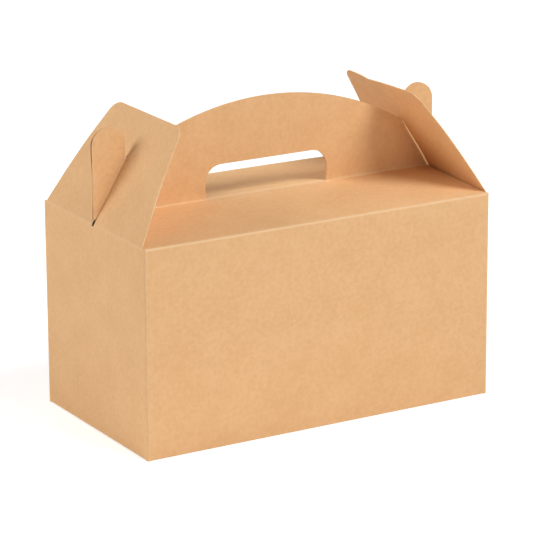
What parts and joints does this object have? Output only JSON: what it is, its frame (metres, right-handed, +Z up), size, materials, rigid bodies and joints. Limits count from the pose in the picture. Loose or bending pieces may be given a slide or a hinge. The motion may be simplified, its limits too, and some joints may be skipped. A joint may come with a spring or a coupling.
{
  "type": "gable box",
  "caption": "Folded kraft board carton with a two-layer carry handle and gable end flaps that hook over its ears.",
  "frame": {"origin": "on the surface it stands on, under the middle of the base", "axes": "+X along the handle to the right, -Y towards the front wall, +Z up"},
  "size_m": [0.242, 0.13, 0.195],
  "materials": {
    "kraft_board": "uncoated brown kraft board, fine flat fibre"
  },
  "bodies": {
    "carton": {"carton": "kraft_board", "left_front_ear": "kraft_board", "left_back_ear": "kraft_board", "right_front_ear": "kraft_board", "right_back_ear": "kraft_board"},
    "left_flap": {"left_gable_flap": "kraft_board"},
    "right_flap": {"right_gable_flap": "kraft_board"}
  },
  "joints": [
    {"name": "left_flap_fold", "type": "hinge", "parent": "carton", "child": "left_flap", "pos_m": [-0.121, 0, 0.1305], "axis": [0, -1, 0], "range_deg": [0, 120], "deforming": ["left_front_ear", "left_back_ear"]},
    {"name": "right_flap_fold", "type": "hinge", "parent": "carton", "child": "right_flap", "pos_m": [0.121, 0, 0.1305], "axis": [0, 1, 0], "range_deg": [0, 120], "deforming": ["right_front_ear", "right_back_ear"]}
  ]
}
